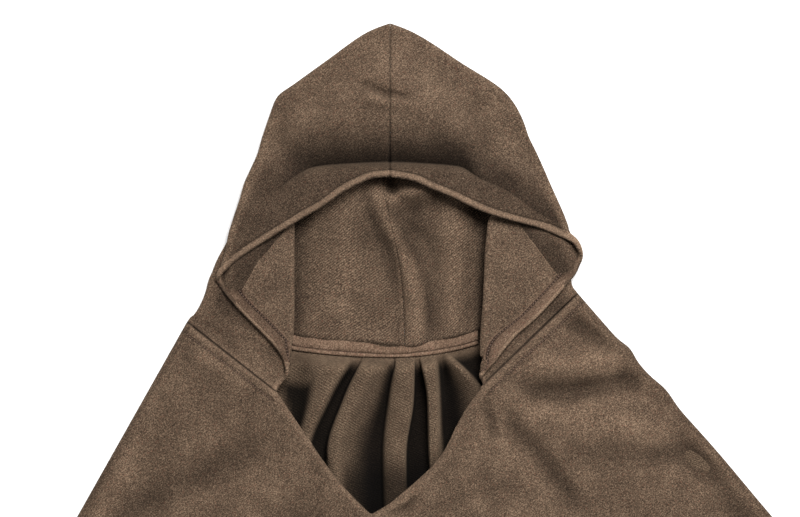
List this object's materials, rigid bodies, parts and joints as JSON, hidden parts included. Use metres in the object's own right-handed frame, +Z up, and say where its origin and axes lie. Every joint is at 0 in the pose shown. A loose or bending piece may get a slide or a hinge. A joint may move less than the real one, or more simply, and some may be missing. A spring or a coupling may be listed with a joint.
{
  "type": "hooded poncho",
  "caption": "Hooded wool poncho laid flat on its back, face opening up: two-piece hood folded at its sides, V neck, flared front over a flared back with folds below the neck",
  "frame": {"origin": "middle of the bounding box at the surface that the poncho lies on", "axes": "+Z up from that surface, +Y from the hem to the tip of the hood, +X to the right as seen from above"},
  "size_m": [1.4208, 1.226, 0.0425],
  "materials": {
    "twill": "fulled wool twill, mottled brown, matt with a short nap",
    "twill_inside": "wrong side of the wool twill, brown, its diagonal lines showing",
    "pressed_edge": "turned and pressed edge of the wool twill, stitched down"
  },
  "bodies": {
    "root": {"hood_left": "twill", "hood_right": "twill", "face_hem_left": "pressed_edge", "face_hem_right": "pressed_edge", "neck_seam_band": "pressed_edge", "front": "twill", "back": "twill_inside"}
  },
  "joints": []
}
